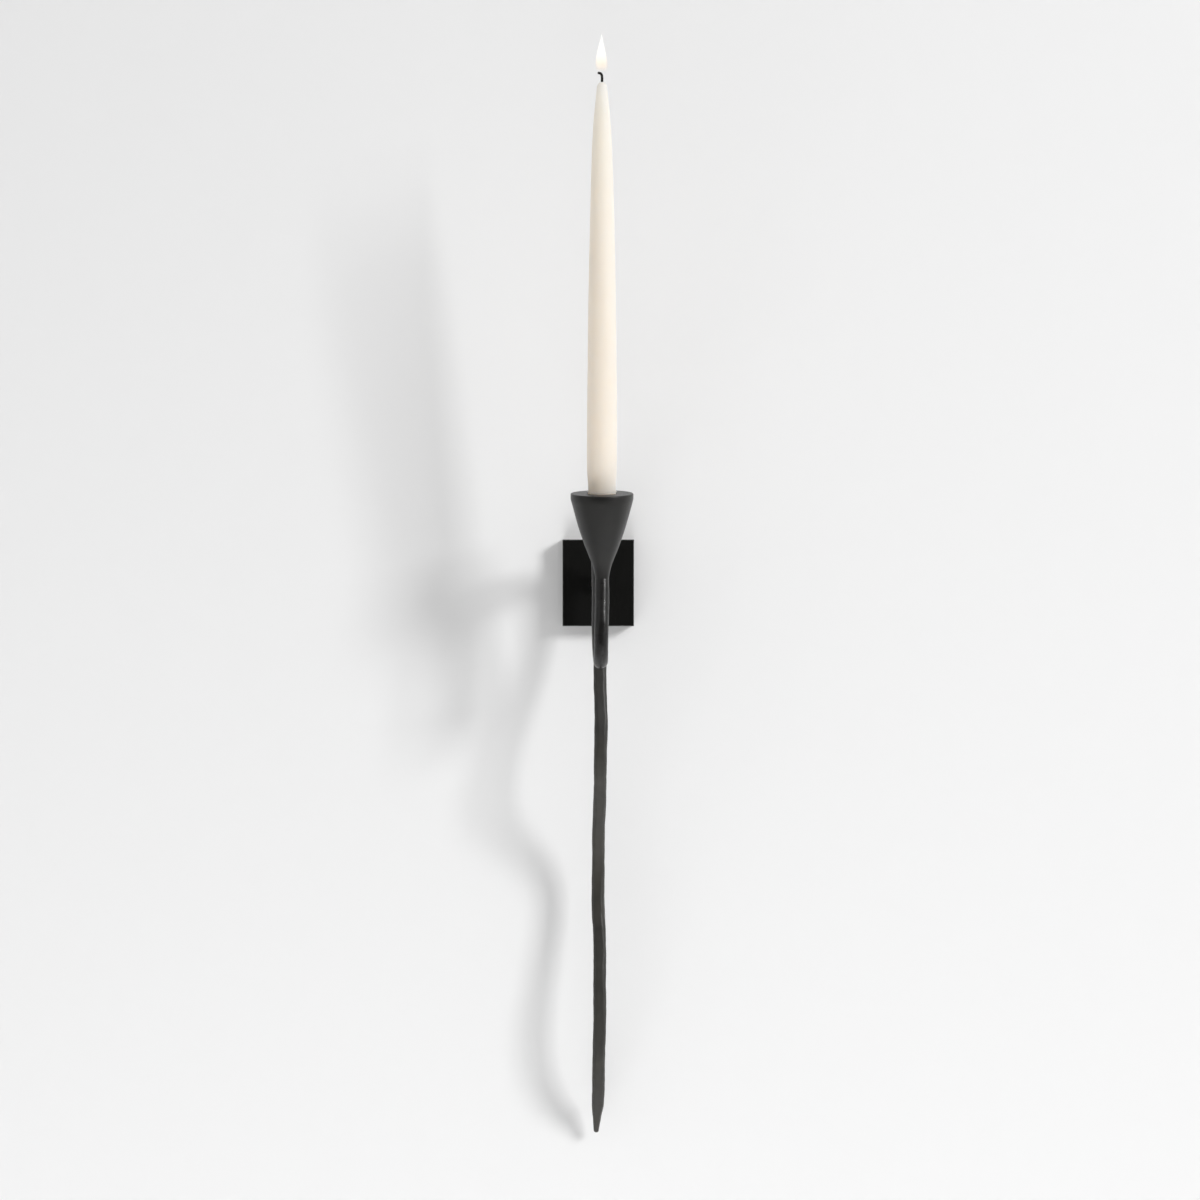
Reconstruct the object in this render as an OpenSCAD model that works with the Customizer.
// Wall sconce for one taper candle, forged from iron bar.
// Millimetres. The wall is the plane y = 0, the front of the sconce looks along -Y,
// +Z is up, and the origin is on the wall at the middle of the two wall screws.

/* [Back plate] */
// Width of the back plate
plate_w = 52; // [46:1:70]
// Height of the back plate
plate_h = 63; // [58:1:90]
// Distance from the wall to the back plate's front face
plate_d = 14; // [14:0.5:20]
// Thickness of the back plate's front wall
plate_front = 3; // [2.5:0.5:4]
// Thickness of the back plate's side walls
plate_side = 2.5; // [2:0.5:3.5]
// Bevel along the front edges of the back plate
plate_bevel = 0.6; // [0.2:0.1:1]

/* [Wall bracket] */
// Width of the folded steel strip
strip_w = 28; // [20:1:34]
// Thickness of the steel strip
strip_t = 2; // [1.5:0.1:2.2]
// Diameter of each wall screw hole
screw_hole_d = 5; // [4:0.1:5.6]
// Distance between the two wall screw holes
screw_pitch = 20; // [18:1:22]
// Height of the hook's upright lip above its shelf
lip_h = 5; // [3:0.5:5.5]
// Gap between the lower tab and the lock screw's boss
tab_gap = 7; // [6.5:0.5:8]

/* [Hanger bar and lock screw] */
// Thickness of the flat bar that hangs in the hook
hanger_t = 3.6; // [3:0.1:4]
// Height of the hanger bar
hanger_h = 10; // [8:0.5:12]
// Length of the hanger bar
hanger_l = 40; // [24:1:40]
// Thread diameter of the lock screw
lock_d = 4; // [3:0.5:5]
// Distance from the wall to the lock screw's axis
lock_out = 5.5; // [4.5:0.1:6]

/* [Arm] */
// Thickness of the arm's bar
arm_t = 10.2; // [8:0.1:12]
// Distance from the wall to the cup's neck
neck_out = 98; // [85:1:120]
// Height of the cup's neck above the origin
neck_up = 6.8; // [0:0.2:16]
// Sideways place of the cup's neck
neck_x = 2.7; // [0:0.1:4]
// Height of the arch above the origin
arch_rise = 32; // [28:1:40]
// Depth of the hook below the origin
hook_drop = 52.4; // [44:0.2:64]
// Diameter of the arm's threaded tenon
tenon_d = 6; // [5:0.5:6]

/* [Tail] */
// Thickness of the tail's bar
tail_t = 9.2; // [7:0.1:11]
// Depth of the tail's tip below the origin
tail_drop = 404.4; // [300:0.2:490]

/* [Cup] */
// Diameter of the cup's rim
rim_d = 43.7; // [38:0.1:56]
// Height of the cup from neck to rim
cup_h = 59; // [49:0.5:72]
// Diameter of the cup's neck
neck_d = 9.8; // [8.4:0.1:11]
// Height of the upright edge under the rim
rim_edge = 4; // [1:0.1:6]
// Forward lean of the cup in degrees
lean = 6; // [0:0.5:9]
// Diameter of the candle socket
socket_d = 20.4; // [18:0.1:25]
// Depth of the candle socket
socket_h = 22; // [14:0.5:26]
// Diameter of the stud that joins the cup to the arm
stud_d = 5; // [4:0.5:5.5]
// Length of that stud
stud_l = 20; // [14:1:24]

/* [Candle] */
// Length of the candle
candle_l = 303; // [200:1:330]
// Gap between the candle's foot and the socket wall
candle_gap = 0.5; // [0.3:0.1:1]
// Diameter of the wick
wick_d = 1.6; // [1:0.1:2.4]
// Height of bare wick above the wax
wick_up = 6; // [4:0.5:9]

/* [Hidden] */
$fn = 64;

bar_black = "#3a3936";
plate_black = "#141412";
zinc = "#b4b6b8";
wax = "#f0e2cf";

snug = 0.02;              // gap of a thread in its tapped hole
run_gap = 0.05;           // gap of the lock screw, which turns in use
loose = 0.3;              // gap between pieces that lift off each other
through = 1;              // how far a cutter passes the face it cuts

// the bracket's folds, outwards from the wall, and their heights inside the plate
hanger_back = 1.4;        // the hanger bar stays this far off the wall
lip_back = hanger_back + hanger_t + loose;
shelf_z = plate_h / 2 - plate_side - hanger_h;
boss_h = 5;
boss_wall = 2;
boss_d = lock_d + 2 * boss_wall;
tab_edge = 1.5;           // metal beyond the screw's axis and radius at the tab's end
tab_reach = lock_out + lock_d / 2 + tab_edge;
tab_z = plate_h / 2 - plate_side - boss_h - tab_gap - strip_t;

// the lock screw, from just inside the plate's underside to just above the tab
lock_inset = 0.2;
lock_past = 2;
lock_top = lock_past - tab_z;
lock_key_r = lock_d / 2 / sqrt(3);
lock_key_depth = 2.5;
lock_point_h = 1;
lock_point_d = lock_d * 0.65;

// fasteners on the arm's tenon, inwards from the back plate's front wall
washer_t = 1.6;
washer_d = tenon_d * 2;
washer_bore = tenon_d + 0.4;
lock_washer_t = 1.4;
lock_washer_d = tenon_d * 1.8;
lock_washer_bore = tenon_d + 0.2;
lock_washer_slit = 0.8;
nut_t = 3.2;
nut_flats = tenon_d * 5 / 3;
tenon_past = 0.8;
tenon_l = plate_front + washer_t + lock_washer_t + nut_t + tenon_past;
tenon_in_bar = 2;

neck = [neck_x, -neck_out, neck_up];
rim_round = 0.7;
hammered = 0.27;          // share of the tail's thickness beaten off each corner
tip_heading = [0, 0.45, -1];

// the wax: a worn crown over a side that swells and then tapers
wax_crown = 4;
wax_crown_r = 0.37;       // as a share of the foot's radius
wax_base_r = 0.9;         // the same for the flat under the foot
wick_in_wax = 1;          // how far the bare wick starts below the crown

// Routes are drawn for the standard sizes: x, distance from the wall, height, thickness.
// place() moves them with the driving sizes.
std_plate_d = 14;
std_neck_x = 3;
std_out = 98;
std_rise = 32;
std_drop = 53;
std_tail = 401;
std_candle = 304;

arm_route = [
    [0, 14, 0, 1.1], [0, 20, 2, 1.03], [0, 29, 10, 1], [0, 41, 24, 1], [0, 58, 32, 1],
    [0.2, 75, 26, 1], [0.4, 81, 9, 1], [0.5, 76.5, -12, 0.98], [0.6, 74, -30, 1],
    [1, 79, -45, 1.01], [1.9, 90, -53, 1], [2.3, 100.5, -45, 0.98], [2.6, 103, -29, 0.98],
    [3, 100, -9, 1]
];

tail_route = [
    [0.5, 48, 29, 0.8], [1, 41, 18, 1], [1.2, 38, 3, 1], [1.4, 38, -14, 1.02],
    [1.5, 40.5, -30, 1], [1.6, 47.5, -50, 1.01], [1.7, 58.5, -74, 1], [2.2, 67.5, -100, 1.01],
    [1.8, 66.5, -126, 1], [1.2, 54.5, -152, 0.99], [0.3, 39.5, -179, 1], [0, 31, -204, 1],
    [0, 30.5, -230, 1], [1.1, 35, -257, 1], [1.2, 39.5, -283, 1.01], [1.2, 40.5, -309, 1],
    [0.6, 36.5, -338, 1], [0.2, 28, -362, 1], [-0.4, 20, -377, 0.96],
    [-1.1, 14.5, -389, 0.66], [-1.7, 9.8, -401, 0.38]
];

// Heights above the candle's foot, for the standard length, and the wax's radius there
// as a share of the foot's.
wax_radii = [
    [1.2, 1], [19, 1], [28, 0.99], [42, 1.07], [84, 1.06], [125, 1.015], [167, 0.964],
    [208, 0.866], [250, 0.742], [274, 0.625], [291, 0.464], [300, wax_crown_r]
];

// The cup's side, as shares of the way out from neck to rim and of its height.
cup_flare = [[0, 0], [0.04, 0.07], [0.12, 0.17], [0.26, 0.28], [0.46, 0.44], [0.71, 0.67], [1, 1]];

// The bare wick's bend: sideways and upwards as shares of its height, and its thickness.
wick_bend = [[0, 0.5, 1], [-0.05, 0.8, 0.95], [-0.25, 0.97, 0.85], [-0.52, 1, 0.7]];

// Height of a standard route point once the arch, hook and tail have their own sizes.
function level(z) =
    z >= 0 ? z * arch_rise / std_rise :
    z >= -std_drop ? z * hook_drop / std_drop :
    -hook_drop + (z + std_drop) * (tail_drop - hook_drop) / (std_tail - std_drop);

// Distance from the wall of a standard route point, stretched between plate and neck.
function reach(out) =
    plate_d + (out - std_plate_d) * (neck_out - plate_d) / (std_out - std_plate_d);

function place(p) = [p[0] * neck_x / std_neck_x, -reach(p[1]), level(p[2]), p[3]];

// Smooth curve through a list of points: each span is a cubic that leaves and meets
// its end points along the line between their neighbours.
function cubic(a, b, c, d, t) =
    0.5 * (2 * b + (c - a) * t + (2 * a - 5 * b + 4 * c - d) * t * t
           + (3 * b - a - 3 * c + d) * t * t * t);

function smooth(pts, steps) =
    let (q = concat([2 * pts[0] - pts[1]], pts, [2 * pts[len(pts) - 1] - pts[len(pts) - 2]]))
    concat([for (i = [1 : len(pts) - 1], s = [0 : steps - 1])
                cubic(q[i - 1], q[i], q[i + 1], q[i + 2], s / steps)],
           [pts[len(pts) - 1]]);

function xyz(p) = [p[0], p[1], p[2]];
function unit(v) = v / norm(v);

// Direction of the curve at its point i; the two ends are given.
function heading(c, i, first, last) =
    i == 0 ? first : i == len(c) - 1 ? last : unit(xyz(c[i + 1]) - xyz(c[i - 1]));

// A bar of the given section carried along a curve that bends in the plane square to
// across. The section's first side stays along across, and the curve's fourth number
// is the section's size there.
module swept_bar(curve, section, first, last, across = [1, 0, 0]) {
    n = len(section);
    rings = len(curve);
    points = [for (i = [0 : rings - 1])
                 let (h = heading(curve, i, first, last),
                      up = unit(cross(across, h)),
                      side = cross(h, up))
                 for (s = section) xyz(curve[i]) + curve[i][3] * (s[0] * side + s[1] * up)];
    walls = [for (i = [0 : rings - 2], k = [0 : n - 1])
                let (a = i * n + k, b = i * n + (k + 1) % n)
                each [[a, b, b + n], [a, b + n, a + n]]];
    polyhedron(points = points,
               faces = concat([[for (k = [n - 1 : -1 : 0]) k]], walls,
                              [[for (k = [0 : n - 1]) (rings - 1) * n + k]]),
               convexity = 8);
}

// Round bar, as a twelve-sided ring whose flats are t apart.
function round_section(t) =
    [for (k = [0 : 11]) t / 2 / cos(15) * [cos(30 * k + 15), sin(30 * k + 15)]];

// Square bar with hammered-off corners.
function square_section(t) =
    let (a = t / 2, b = t / 2 - t * hammered)
    [[a, -b], [a, b], [b, a], [-b, a], [-a, b], [-a, -b], [-b, -a], [b, -a]];

// Wick, as an eight-sided ring.
function thread_section(d) = [for (k = [0 : 7]) d / 2 * [cos(45 * k), sin(45 * k)]];

function arm_curve() =
    let (bar = [for (p = arm_route) place(p)], tip = concat(neck, [neck_d / arm_t]))
    smooth(concat(bar, [tip]), 5);

function tail_curve() = smooth([for (p = tail_route) place(p)], 4);

// A cylinder whose axis runs from the wall outwards, between two distances from it.
module outward(x, z, d, from, to) {
    translate([x, -from, z])
        rotate([90, 0, 0])
            cylinder(d = d, h = to - from);
}

// Everything that leans with the cup is drawn upright with the neck at its origin.
module leaning() {
    translate(neck)
        rotate([lean, 0, 0])
            children();
}

module wall_bracket() {
    color(zinc)
        difference() {
            union() {
                translate([-strip_w / 2, -strip_t, -tab_z - strip_t])
                    cube([strip_w, strip_t, tab_z + shelf_z]);
                translate([-strip_w / 2, -lip_back - strip_t, shelf_z - strip_t])
                    cube([strip_w, lip_back + strip_t, strip_t]);
                translate([-strip_w / 2, -lip_back - strip_t, shelf_z - strip_t])
                    cube([strip_w, strip_t, strip_t + lip_h]);
                translate([-strip_w / 2, -tab_reach, -tab_z - strip_t])
                    cube([strip_w, tab_reach, strip_t]);
            }
            for (z = [-screw_pitch / 2, screw_pitch / 2])
                outward(0, z, screw_hole_d, -through, strip_t + through);
            translate([0, -lock_out, -tab_z - strip_t - through])
                cylinder(d = lock_d + 2 * loose, h = strip_t + 2 * through);
        }
}

// Block with its back on the wall and a bevel along its front edges.
module bevelled_block(w, h, d, b) {
    intersection() {
        translate([0, 0, -h / 2])
            linear_extrude(h)
                polygon([[-w / 2, 0], [-w / 2, b - d], [b - w / 2, -d],
                         [w / 2 - b, -d], [w / 2, b - d], [w / 2, 0]]);
        rotate([0, 90, 0])
            translate([0, 0, -w / 2])
                linear_extrude(w)
                    polygon([[-h / 2, 0], [-h / 2, b - d], [b - h / 2, -d],
                             [h / 2 - b, -d], [h / 2, b - d], [h / 2, 0]]);
    }
}

module backplate() {
    color(plate_black)
        difference() {
            union() {
                difference() {
                    bevelled_block(plate_w, plate_h, plate_d, plate_bevel);
                    translate([plate_side - plate_w / 2, plate_front - plate_d,
                               plate_side - plate_h / 2])
                        cube([plate_w - 2 * plate_side, plate_d - plate_front + through,
                              plate_h - 2 * plate_side]);
                }
                translate([0, -lock_out, -plate_h / 2 + plate_side])
                    cylinder(d = boss_d, h = boss_h);
            }
            outward(0, 0, tenon_d + 2 * run_gap, plate_d - plate_front - through,
                    plate_d + through);
            translate([0, -lock_out, -plate_h / 2 - through])
                cylinder(d = lock_d + 2 * run_gap, h = plate_side + boss_h + 2 * through);
        }
}

module hanger_bar() {
    color(plate_black)
        translate([-hanger_l / 2, -hanger_back - hanger_t, shelf_z])
            cube([hanger_l, hanger_t, hanger_h]);
}

module lock_screw() {
    bottom = lock_inset - plate_h / 2;
    shank = lock_top - bottom - lock_point_h;
    color(bar_black)
        translate([0, -lock_out, bottom])
            difference() {
                union() {
                    cylinder(d = lock_d, h = shank);
                    translate([0, 0, shank])
                        cylinder(d1 = lock_d, d2 = lock_point_d, h = lock_point_h);
                }
                translate([0, 0, -through])
                    cylinder(r = lock_key_r, h = lock_key_depth + through, $fn = 6);
            }
}

module hook_arm() {
    color(bar_black)
        difference() {
            union() {
                swept_bar(arm_curve(), round_section(arm_t), [0, -1, 0],
                          [0, -sin(lean), cos(lean)]);
                outward(0, 0, tenon_d, plate_d - tenon_l, plate_d + tenon_in_bar);
            }
            leaning()
                translate([0, 0, -stud_l / 2])
                    cylinder(d = stud_d + 2 * snug, h = stud_l / 2 + through);
        }
}

// A flat ring on the tenon, between two distances behind the front wall.
module tenon_ring(outer, bore, from, t) {
    back = plate_d - plate_front - from - t;
    difference() {
        outward(0, 0, outer, back, back + t);
        outward(0, 0, bore, back - through, back + t + through);
    }
}

module arm_washer() {
    color(zinc)
        tenon_ring(washer_d, washer_bore, 0, washer_t);
}

module arm_lock_washer() {
    color(zinc)
        difference() {
            tenon_ring(lock_washer_d, lock_washer_bore, washer_t, lock_washer_t);
            translate([-lock_washer_slit / 2, -plate_d, 0])
                cube([lock_washer_slit, plate_d, lock_washer_d]);
        }
}

module arm_nut() {
    back = plate_d - plate_front - washer_t - lock_washer_t - nut_t;
    color(zinc)
        difference() {
            translate([0, -back, 0])
                rotate([90, 0, 0])
                    cylinder(d = nut_flats * 2 / sqrt(3), h = nut_t, $fn = 6);
            outward(0, 0, tenon_d + 2 * snug, back - through, back + nut_t + through);
        }
}

module tail_bar() {
    first = unit(xyz(tail_curve()[1]) - xyz(tail_curve()[0]));
    color(bar_black)
        swept_bar(tail_curve(), square_section(tail_t), first, unit(tip_heading));
}

// Half outline of the cup: flare above the neck, straight side, upright edge, round rim.
function cup_outline() =
    let (r0 = neck_d / 2,
         grow = rim_d / 2 - r0,
         side = smooth([for (p = cup_flare) [r0 + p[0] * grow, p[1] * (cup_h - rim_edge)]], 3),
         rim = [for (a = [0 : 22.5 : 90])
                   [rim_d / 2 - rim_round, cup_h - rim_round] + rim_round * [cos(a), sin(a)]])
    concat([[0, 0]], side, rim, [[0, cup_h]]);

module cup() {
    color(bar_black)
        leaning()
            difference() {
                rotate_extrude()
                    polygon(cup_outline());
                translate([0, 0, cup_h - socket_h])
                    cylinder(d = socket_d, h = socket_h + through);
                translate([0, 0, -through])
                    cylinder(d = stud_d + 2 * snug, h = stud_l / 2 + through);
            }
}

module cup_stud() {
    color(zinc)
        leaning()
            translate([0, 0, -stud_l / 2])
                cylinder(d = stud_d, h = stud_l);
}

function candle_outline() =
    let (foot = socket_d / 2 - candle_gap,
         side = smooth([for (p = wax_radii) [foot * p[1], p[0] * candle_l / std_candle]], 3),
         crown = [for (a = [30 : 30 : 60])
                     [foot * wax_crown_r * cos(a), candle_l - wax_crown * (1 - sin(a))]])
    concat([[wick_d / 2, 0], [foot * wax_base_r, 0]], side, crown, [[wick_d / 2, candle_l]]);

module candle() {
    color(wax)
        leaning()
            translate([0, 0, cup_h - socket_h])
                rotate_extrude()
                    polygon(candle_outline());
}

// Straight through the wax, then bare above it and curling over to one side.
module wick() {
    foot = cup_h - socket_h;
    top = foot + candle_l;
    bend = concat([[0, 0, top - 2 * wick_in_wax, 1]],
                  [for (p = wick_bend) [p[0] * wick_up, 0, top + p[1] * wick_up, p[2]]]);
    color("#1a1714")
        leaning() {
            translate([0, 0, foot])
                cylinder(d = wick_d, h = candle_l - wick_in_wax);
            swept_bar(smooth(bend, 3), thread_section(wick_d - snug), [0, 0, 1], [-1, 0, 0],
                      [0, 1, 0]);
        }
}

wall_bracket();
backplate();
hanger_bar();
lock_screw();
hook_arm();
arm_washer();
arm_lock_washer();
arm_nut();
tail_bar();
cup();
cup_stud();
candle();
wick();
